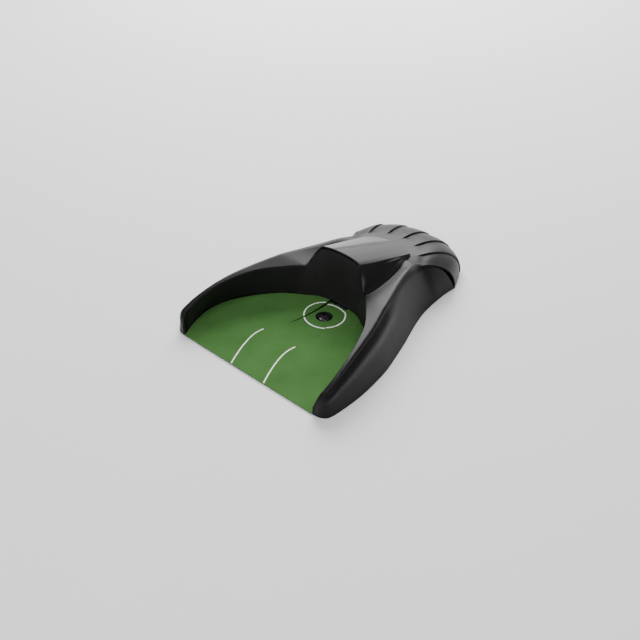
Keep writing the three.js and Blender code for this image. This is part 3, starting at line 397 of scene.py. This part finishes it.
BROW = [(25.8, 139.4, 69), (22.6, 140.2, 70.7), (12, 140.9, 72.2), (0, 141, 72.7)]
ARCH_FELT = [
    (46.2, 125.4), (43, 127.1), (37.2, 130.4), (32.4, 133.6), (28.6, 135.8), (24, 137.6),
    (12, 139.7), (0, 140.1),
]
TAIL_FOOT = [(66.3, 257), (52.6, 287), (29, 303.4), (0, 307)]
TAIL_CROWN = [(43.4, 210, 41), (34.3, 226, 43), (18.7, 239.6, 42.7), (0, 243, 42.8)]
TAIL_ROOT = [(20, 196, 42.5), (14, 198, 42.5), (7, 200, 42.5), (0, 201, 42.5)]
TAIL_ROUNDNESS = 2.1
HOOD_TIP = at(28, 223, 44.8)
HOOD_EDGE = [(28, 223, 44.8), (15, 228, 44.3), (0, 231.8, 44)]
ROW_STEPS = 10
SWELL_RISE = 2.3
VALLEY_DEPTH = 0.9
FACET_SAG = 1.7


def felt_z(y):
    """Height of the felt's top on the ramp at a place along Y."""
    return FELT_FRONT_TOP + FELT_SLOPE * (y - FRONT_Y)


def on_felt(points):
    line = [at(x, y, 0) for x, y in points]
    for p in line:
        p.z = felt_z(p.y)
    return line


def swell(points, foot, corner, amount):
    """Raises a soft shoulder below the upper edge, with a shallow valley between them."""
    fall = foot - corner
    outward = Vector((-fall.z, 0, fall.x)).normalized() * math.copysign(1, fall.x)
    for p in points:
        share = (p - corner).dot(fall) / fall.length_squared
        rise = SWELL_RISE * math.exp(-((share - 0.27) / 0.13) ** 2)
        rise -= VALLEY_DEPTH * math.exp(-((share - 0.08) / 0.055) ** 2)
        p += outward * rise * amount * MM


def smoothstep(low, high, value):
    t = max(0.0, min(1.0, (value - low) / (high - low)))
    return t * t * (3 - 2 * t)


def shell_profile(foot, corner, inner, base, radius, roll, shoulder):
    """Across the shell: up the side, round the shoulder, over the top, and down inside."""
    rise = min(radius, (foot - corner).length * 0.6)
    reach = min(radius, (corner - inner).length * 0.45)
    start = corner.lerp(foot, rise / max(1e-6, (foot - corner).length))
    end = corner.lerp(inner, reach / max(1e-6, (corner - inner).length))
    drop = min(roll, (base - inner).length * 0.4, (end - inner).length * 0.4)
    lip = inner.lerp(end, drop / max(1e-6, (end - inner).length))
    under = inner.lerp(base, drop / max(1e-6, (base - inner).length))
    points = run(foot, start, 26) + bend(start, corner, end, 12)[:-1]
    swell(points, foot, corner, shoulder)
    points += run(end, lip, 10)
    return points + bend(lip, inner, under, 4)[:-1] + run(under, base, 6) + [base]


def side_rows():
    feet = spline([at(x, y, 0).xy.to_3d() for x, y in SIDE_FOOT], ROW_STEPS)
    for p in feet:
        p.z = SKIRT_Z
    corners = spline([at(*p) for p in SHOULDER], ROW_STEPS)
    inners = spline([at(*p) for p in MOUTH_EDGE], ROW_STEPS)
    inners += spline([at(*p) for p in HOOD_SIDE], ROW_STEPS)[1:]
    mouth = spline(on_felt(MOUTH_FELT), ROW_STEPS)
    rows = []
    for i, (foot, corner, inner) in enumerate(zip(feet, corners, inners)):
        if i < len(mouth):
            base = mouth[i]
        else:
            base = inner + Vector((-0.3 * MM, 0, -8 * MM))
            base.z = max(base.z, SKIRT_Z)
        y = (foot.y - FRONT_Y) / MM
        waist = smoothstep(120, 190, y) * (1 - smoothstep(205, 225, y))
        radius = (3.2 + 1.3 * smoothstep(20, 60, y) + 5 * waist) * MM
        shoulder = smoothstep(-4, 14, y) * (1 - smoothstep(112, 165, y))
        rows.append(shell_profile(foot, corner, inner, base, radius, 0.7 * MM, shoulder))
    return rows


def tail_rows():
    """Rows from the foot over the dome to under the hood; the six ribs overlap like slates."""
    foot = [at(x, y, 0) for x, y in TAIL_FOOT]
    for p in foot:
        p.z = SKIRT_Z
    crown, root = ([at(*p) for p in line] for line in (TAIL_CROWN, TAIL_ROOT))
    lines = [spline(both_sides(controls), ROW_STEPS) for controls in (foot, crown, root)]
    rows = []
    count = len(lines[0]) - 1
    for i in range(count + 1):
        along = (i % ROW_STEPS) / ROW_STEPS
        if i % ROW_STEPS == 0 and i > 0:
            rows.append(tail_row(lines, i, 1.0))
            if i < count:
                rows.append(tail_row(lines, i + 0.1, 0.0))
        else:
            rows.append(tail_row(lines, i, along ** 1.3))
    return rows


def tail_row(lines, place, lowered):
    i = min(int(place), len(lines[0]) - 2)
    foot, crown, root = (line[i].lerp(line[i + 1], place - i) for line in lines)
    outward = Vector((foot.x, foot.y - at(0, 215, 0).y, 0)).normalized()
    points = []
    steps = 34
    for k in range(steps + 1):
        angle = math.pi / 2 * k / steps
        out = max(0.0, math.cos(angle)) ** (2 / TAIL_ROUNDNESS)
        up = math.sin(angle) ** (2 / TAIL_ROUNDNESS)
        p = crown.lerp(foot, out)
        p.z = foot.z + (crown.z - foot.z) * up
        push = -RIB_DROP * lowered * smoothstep(-2, 12, (foot - crown).length * out / MM)
        points.append(p + outward * push * (1 - up) + Vector((0, 0, push * up)))
    return points + [crown.lerp(root, k / 8) for k in range(1, 9)]


def make_shell():
    right = side_rows()
    left = [flipped(row) for row in side_rows()]
    skins = [
        (right, 0.02 * MM, at(105, 48, 12), Vector((1, 0, 0))),
        (left, 0.02 * MM, at(-105, 48, 12), Vector((-1, 0, 0))),
        (tail_rows(), 0.005 * MM, at(0, 300, 28), Vector((0, 0, 1))),
    ]
    whole = bmesh.new()
    for rows, distance, point, direction in skins:
        bm = sheet_mesh(rows)
        merge(bm, distance)
        face_towards(bm, point, direction)
        thicken(bm, SHELL_WALL)
        absorb(whole, bm)
    return piece("shell", whole, GRAINED, "body", ["housing"], smooth_angle=42)


def hood_rows(steps):
    """Rows from the arch back to the rear edge: facet, crease, top, crease, facet."""
    post = spline([at(*p) for p in POST], 5)
    brow = both_sides(spline([at(*p) for p in BROW], 6))
    rear = spline(both_sides([at(*p) for p in HOOD_EDGE]), 9)
    lower = spline([at(*p) for p in HOOD_SIDE[:5]] + [HOOD_TIP], 12)
    rows = []
    for k in range(steps + 1):
        share = k / steps
        foot = sample(lower, share) + Vector((-0.4, 0, 0.5)) * MM * math.sin(math.pi * share)
        crease = post[-1].lerp(HOOD_TIP, share)
        facet = []
        for i, p in enumerate(post[:-1]):
            t = i / (len(post) - 1)
            straight = post[0].lerp(post[-1], t)
            sag = FACET_SAG * MM * math.sin(math.pi * t) ** 2 * math.sin(math.pi * share) ** 0.8
            bulge = (p - straight) * (1 - share) ** 2 - Vector((0.85, 0, 0.5)) * sag
            facet.append(foot.lerp(crease, t) + bulge)
        top = [p.lerp(sample(rear, i / (len(brow) - 1)), share) for i, p in enumerate(brow)]
        rows.append(facet + top + flipped(facet)[::-1])
    return rows


def sample(line, share):
    """The point at a share of the way along a line of evenly spaced points."""
    place = share * (len(line) - 1)
    i = min(int(place), len(line) - 2)
    return line[i].lerp(line[i + 1], place - i)


def make_hood():
    bm = sheet_mesh(hood_rows(28))
    merge(bm, 0.005 * MM)
    face_towards(bm, at(0, 180, 60), Vector((0, 0, 1)))
    thicken(bm, 1.4 * MM)
    return piece("gloss_hood", bm, GLOSS, "body", ["hood_cover"], 24, 0.65 * MM)


def make_liner():
    low = spline(on_felt(MOUTH_FELT), 8)[16:] + spline(on_felt(ARCH_FELT), 8)[1:]
    high = spline([at(*p) for p in MOUTH_EDGE], 8)[16:]
    high += spline([at(*p) for p in POST + BROW[1:]], 8)[1:]
    rows = []
    for i, (a, b) in enumerate(zip(low, high)):
        inward = Vector((-a.x, at(0, 40, 0).y - a.y, 0)).normalized()
        arch = max(0.0, min(1.0, (b.z - 44.5 * MM) / (4 * MM)))
        top = b.lerp(a, (1.3 * MM + 1.9 * MM * arch) / (b - a).length)
        shift = inward * 0.35 * MM
        start = min(1.0, i / 10)
        top = a.lerp(top, 0.35 + 0.65 * start)
        rows.append(run(a + shift, top + shift, 14) + [top + shift])
    left = [flipped(row) for row in rows[:-1]][::-1]
    bm = sheet_mesh(rows + left)
    merge(bm, 0.005 * MM)
    face_towards(bm, at(0, 134, 20), Vector((0, -1, 0)))
    thicken(bm, 1.2 * MM)
    return piece("mouth_wall", bm, SATIN, "body", ["mouth_liner"], 35, 0.3 * MM)


# ---- Felt ----

def flap_half(y_mm):
    share = (y_mm - HINGE_PLACE) / FLAP_LENGTH
    flare = max(0.0, 1 - share) ** 2
    return FLAP_BACK_HALF + (FLAP_FRONT_HALF - FLAP_BACK_HALF) * flare


def felt_edge_x(y_mm, line):
    """Half width of the felt at a place along Y."""
    for a, b in zip(line, line[1:]):
        if a.y <= y_mm <= b.y and b.y > a.y:
            return a.x + (b.x - a.x) * (y_mm - a.y) / (b.y - a.y)
    return line[-1].x


def felt_outline():
    points = [(87.4, 0), (89.4, 5), (93.8, 15.5), (98.4, 32), (99.8, 47), (96.4, 65), (86.4, 84),
              (75.2, 99.5), (60.4, 115.2), (45.6, 124.9), (38, 129.3), (31.4, 133.8), (26, 136.5), (14, 138.9)]
    return spline([Vector((x, y, 0)) for x, y in points], 10)


def plan_uv(bm):
    """Lays the pattern flat on the cloth."""
    layer = bm.loops.layers.uv.new("cloth")
    for face in bm.faces:
        for loop in face.loops:
            loop[layer].uv = (loop.vert.co.x + 0.5, loop.vert.co.y + 0.5)


def make_ramp_felt():
    line = felt_outline()
    hinge = HINGE_PLACE - 0.3
    ahead = [hinge * (k / 44) for k in range(45)]
    behind = [hinge + (FELT_END - hinge) * (k / 36) for k in range(1, 37)]
    rows = []
    for y in ahead + behind:
        half = flap_half(max(y, HINGE_PLACE))
        right, left = half + SLIT_RIGHT, -half - SLIT_LEFT
        edge = max(half + 1.2, felt_edge_x(y, line))
        xs = [edge + (right - edge) * k / 26 for k in range(26)]
        xs += [right + (left - right) * k / 14 for k in range(14)]
        xs += [left + (-edge - left) * k / 26 for k in range(27)]
        row = [at(x, y, 0) for x in xs]
        for p in row:
            p.z = felt_z(p.y)
        rows.append(row)
    bm = sheet_mesh(rows)
    gap = []
    for face in bm.faces:
        centre = face.calc_center_median()
        y_mm = (centre.y - FRONT_Y) / MM
        half = flap_half(y_mm)
        if y_mm > hinge and -SLIT_LEFT - half < centre.x / MM < half:
            gap.append(face)
    bmesh.ops.delete(bm, geom=gap, context="FACES")
    face_towards(bm, at(0, 30, 3), Vector((0, 0, 1)))
    plan_uv(bm)
    thicken(bm, FELT_THICKNESS)
    obj = piece("ramp_felt", bm, FELT, "body", ["felt_mat"], 50, 0.25 * MM)


def make_flap_felt():
    start, end = HINGE_PLACE - 0.3, FELT_END
    hole = (HOLE_Y - FRONT_Y) / MM
    count = 96
    whole = bmesh.new()
    for side in (1, -1):
        rows = []
        for k in range(count + 1):
            angle = -math.pi / 2 + side * math.pi * k / count
            direction = Vector((math.cos(angle), math.sin(angle), 0))
            rim = reach_to_flap_edge(direction, hole, start, end) - HOLE_RADIUS
            row = [direction * (HOLE_RADIUS + rim * j / 16) for j in range(17)]
            rows.append([at(p.x, hole + p.y, FLAP_TOP / MM) for p in row])
        absorb(whole, sheet_mesh(rows))
    merge(whole, 0.01 * MM)
    bmesh.ops.recalc_face_normals(whole, faces=whole.faces)
    face_towards(whole, at(0, 100, 6), Vector((0, 0, 1)))
    plan_uv(whole)
    thicken(whole, FELT_THICKNESS)
    obj = piece("flap_tongue_felt", whole, FELT, None, ["flap_felt"], 50, 0.2 * MM)
    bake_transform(obj)


def reach_to_flap_edge(direction, hole, start, end):
    """Distance from the hole's centre to the flap's outline."""
    low, high = 5.0, 60.0
    for _ in range(30):
        middle = (low + high) / 2
        x, y = direction.x * middle, hole + direction.y * middle
        inside = start < y < end and abs(x) < flap_half(y)
        low, high = (middle, high) if inside else (low, middle)
    return low


# ---- Printed lines ----

def ink_strip(name, points, width, body):
    """A narrow printed band that follows points on the felt."""
    rows = []
    for i, p in enumerate(points):
        ahead = points[min(i + 1, len(points) - 1)] - points[max(i - 1, 0)]
        aside = Vector((ahead.y, -ahead.x, 0)).normalized() * width / 2
        rows.append([p - aside, p, p + aside])
    bm = sheet_mesh(rows)
    face_towards(bm, points[len(points) // 2], Vector((0, 0, 1)))
    thicken(bm, 0.12 * MM)
    bmesh.ops.translate(bm, verts=bm.verts, vec=(0, 0, 0.06 * MM))
    return piece(name, bm, INK, body, (), 50)


GUIDE_LINE = [(-19.3, 0.3), (-25.1, 13.7), (-30, 27.3), (-33.4, 41), (-34, 50.5), (-32.6, 58.6)]
GUIDE_SPACING = 44.5
RING_HALF_WIDTH = 22.2
RING_HALF_DEPTH = 20.8
RING_CENTRE_Y = 116.0
LINE_WIDTH = 1.3 * MM


def make_guides():
    for name, shift in (("guide_line_left", 0), ("guide_line_right", GUIDE_SPACING)):
        points = spline(on_felt([(x + shift, y) for x, y in GUIDE_LINE]), 12)
        ink_strip(name, points, LINE_WIDTH, "body")


def make_ring():
    """The ring round the hole, cut where the flap's slits cross it."""
    runs = []
    count = 240
    for k in range(count + 1):
        angle = 2 * math.pi * k / count + 0.001
        x = RING_HALF_WIDTH * math.cos(angle)
        y = RING_CENTRE_Y + RING_HALF_DEPTH * math.sin(angle)
        if abs(x) < flap_half(y) - 0.1 and y > HINGE_PLACE:
            where = "flap"
        elif x > flap_half(y) + SLIT_RIGHT or x < -flap_half(y) - SLIT_LEFT:
            where = "body"
        else:
            where = None
        if not runs or runs[-1][0] != where:
            runs.append((where, []))
        runs[-1][1].append((x, y))
    for number, (where, points) in enumerate(runs):
        if where is None or len(points) < 4:
            continue
        line = on_felt(points)
        if where == "flap":
            for p in line:
                p.z = FLAP_TOP
        ink_strip(f"ring_arc_{number}", line, LINE_WIDTH, where)


# ---- Button ----

def make_button():
    radius = (BUTTON_HIGH.x - BUTTON_LOW.x) / 2
    height = BUTTON_HIGH.z - BUTTON_LOW.z
    profile = [(0, 0), (radius - 0.2 * MM, 0), (radius, 0.2 * MM), (radius, 0.45 * MM)]
    profile += [(radius * math.cos(a), 0.45 * MM + (height - 0.45 * MM) * math.sin(a))
                for a in (math.pi / 2 * k / 12 for k in range(1, 13))]
    bm = bmesh.new()
    verts = [bm.verts.new((x, HOLE_Y, BUTTON_LOW.z + z)) for x, z in profile]
    edges = [bm.edges.new(pair) for pair in zip(verts, verts[1:])]
    bmesh.ops.spin(bm, geom=verts + edges, cent=(0, HOLE_Y, 0), axis=(0, 0, 1), angle=2 * math.pi,
                   steps=64, use_merge=True, use_duplicate=False)
    merge(bm, 0.01 * MM)
    bmesh.ops.recalc_face_normals(bm, faces=bm.faces)
    return piece("button_dome", bm, SMOKE, "button", ["ball_button"], 50)


# ---- Finishes of the frame's own pieces ----

CAD_FINISHES = {
    "ramp_plate": GRAINED, "base_plate": GRAINED, "battery_door": GRAINED, "flap_plate": SATIN,
    "flap_hinge_wire": STEEL, "kicker_arm": NYLON, "arm_pivot_pin": STEEL, "plunger": STEEL,
    "link_pin": STEEL, "return_spring": STEEL, "solenoid_frame": ZINC, "solenoid_coil": COPPER,
    "tact_switch": SATIN, "battery_tray": SATIN, "power_switch_body": SATIN, "power_switch_knob": NYLON,
    "circuit_board": BOARD, "driver_chip": SATIN,
}


def finish_frame_pieces():
    for name, node in frame["nodes"].items():
        finish = CAD_FINISHES.get(name)
        if name.startswith(("battery_", "capacitor_")) and name[-1].isdigit():
            finish = JACKET
        elif name.startswith("contact_"):
            finish = ZINC
        elif "screw" in name:
            finish = STEEL
        elif name.startswith("foot_"):
            finish = RUBBER
        if finish:
            node.data.materials.clear()
            node.data.materials.append(finish)


# ---- Stage, light and camera ----

def make_floor():
    bm = bmesh.new()
    bmesh.ops.create_grid(bm, x_segments=1, y_segments=1, size=3)
    mesh = bpy.data.meshes.new("studio_floor")
    bm.to_mesh(mesh)
    bm.free()
    floor = bpy.data.objects.new("studio_floor", mesh)
    bpy.context.scene.collection.objects.link(floor)
    f = Finish("pale_floor")
    cloud = f.noise(3.0)
    tint = f.ramp(cloud.outputs["Fac"], [(0.3, (0.89, 0.89, 0.89)), (0.7, (0.91, 0.91, 0.91))])
    f.join(tint.outputs["Color"], f.shader.inputs["Base Color"])
    f.set(Roughness=0.9)
    mesh.materials.append(f.material)


def add_light(name, place, target, size, power):
    light = bpy.data.lights.new(name, "AREA")
    light.shape = "RECTANGLE"
    light.size, light.size_y = size
    light.energy = power
    lamp = bpy.data.objects.new(name, light)
    lamp.location = place
    lamp.rotation_euler = (Vector(target) - Vector(place)).to_track_quat("-Z", "Y").to_euler()
    bpy.context.scene.collection.objects.link(lamp)


def make_lights():
    world = bpy.data.worlds.new("studio")
    bpy.context.scene.world = world
    world.use_nodes = True
    world.node_tree.nodes["Background"].inputs["Color"].default_value = (1, 1, 1, 1)
    world.node_tree.nodes["Background"].inputs["Strength"].default_value = 0.13
    add_light("rear_softbox", (-0.95, 0.98, 1.12), (0, 0, 0.03), (1.5, 1.1), 56)
    add_light("low_rear_softbox", (-0.55, 1.6, 0.5), (0, 0, 0.05), (2.2, 0.9), 10)
    add_light("overhead_softbox", (0.45, -0.25, 1.4), (0, 0, 0), (1.1, 1.1), 13)
    add_light("front_softbox", (0.0, -1.4, 0.9), (0, 0, 0.03), (0.7, 0.5), 7)


def make_camera():
    azimuth, elevation, roll = math.radians(41.80), math.radians(36.54), math.radians(0.33)
    distance, lens_px, image_width_px = 0.8974, 897.1, 640
    target = Vector((18.25, -65.1, 25.0)) * MM
    back = Vector((math.sin(azimuth) * math.cos(elevation), -math.cos(azimuth) * math.cos(elevation),
                   math.sin(elevation)))
    camera = bpy.data.cameras.new("camera")
    camera.sensor_width = 36
    camera.lens = lens_px / image_width_px * camera.sensor_width
    camera.clip_start = 0.01
    view = bpy.data.objects.new("camera", camera)
    view.location = target + back * distance
    view.rotation_euler = back.to_track_quat("Z", "Y").to_euler("XYZ")
    view.rotation_euler.rotate_axis("Z", roll)
    bpy.context.scene.collection.objects.link(view)
    bpy.context.scene.camera = view


make_camera()
make_shell()
make_hood()
make_liner()
make_ramp_felt()
make_flap_felt()
make_guides()
make_ring()
make_button()
finish_frame_pieces()
make_floor()
make_lights()
